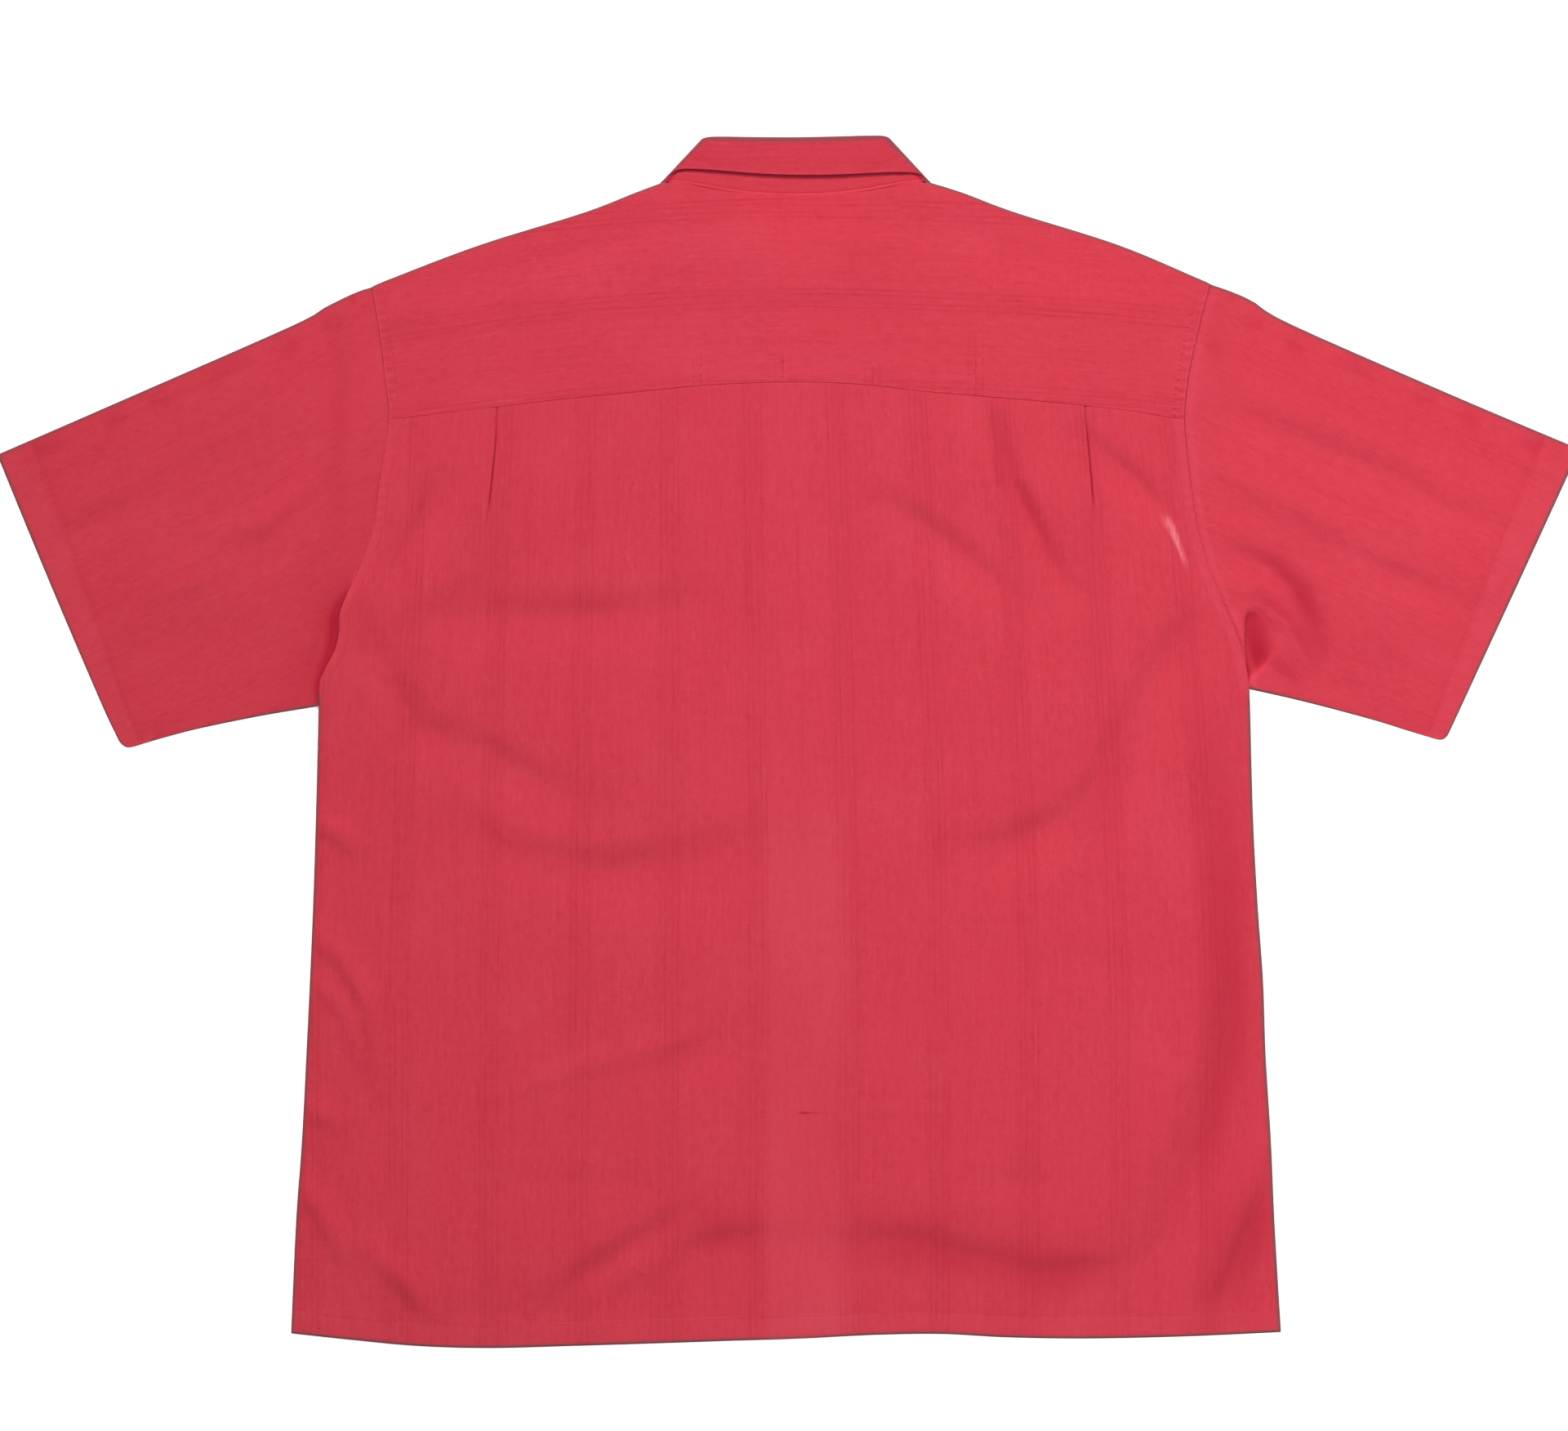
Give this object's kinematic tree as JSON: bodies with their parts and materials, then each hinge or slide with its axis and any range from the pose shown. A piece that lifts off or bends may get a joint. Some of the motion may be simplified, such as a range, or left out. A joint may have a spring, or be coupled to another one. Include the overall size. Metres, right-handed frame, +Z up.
{
  "type": "camp shirt",
  "caption": "Short-sleeved camp shirt laid flat face down: turned-down collar, cross-grain back yoke, pleated back, wide sleeves and a straight hem.",
  "frame": {"origin": "middle of the shirt's footprint, on the surface that it lies on", "axes": "+X to the wearer's right along the spread sleeves, +Y towards the collar, +Z up, with the back of the shirt up"},
  "size_m": [1.0848, 0.8314, 0.0063],
  "materials": {
    "shirt_cloth": "light crimson woven cloth with tone-on-tone dobby stripes, soft and slightly lustrous",
    "button_resin": "dark red cast resin, polished"
  },
  "bodies": {
    "root": {"back": "shirt_cloth", "yoke": "shirt_cloth", "front_left": "shirt_cloth", "front_right": "shirt_cloth", "sleeve_left": "shirt_cloth", "sleeve_right": "shirt_cloth", "collar": "shirt_cloth", "button_1": "button_resin", "button_2": "button_resin", "button_3": "button_resin", "button_4": "button_resin", "button_5": "button_resin"}
  },
  "joints": []
}
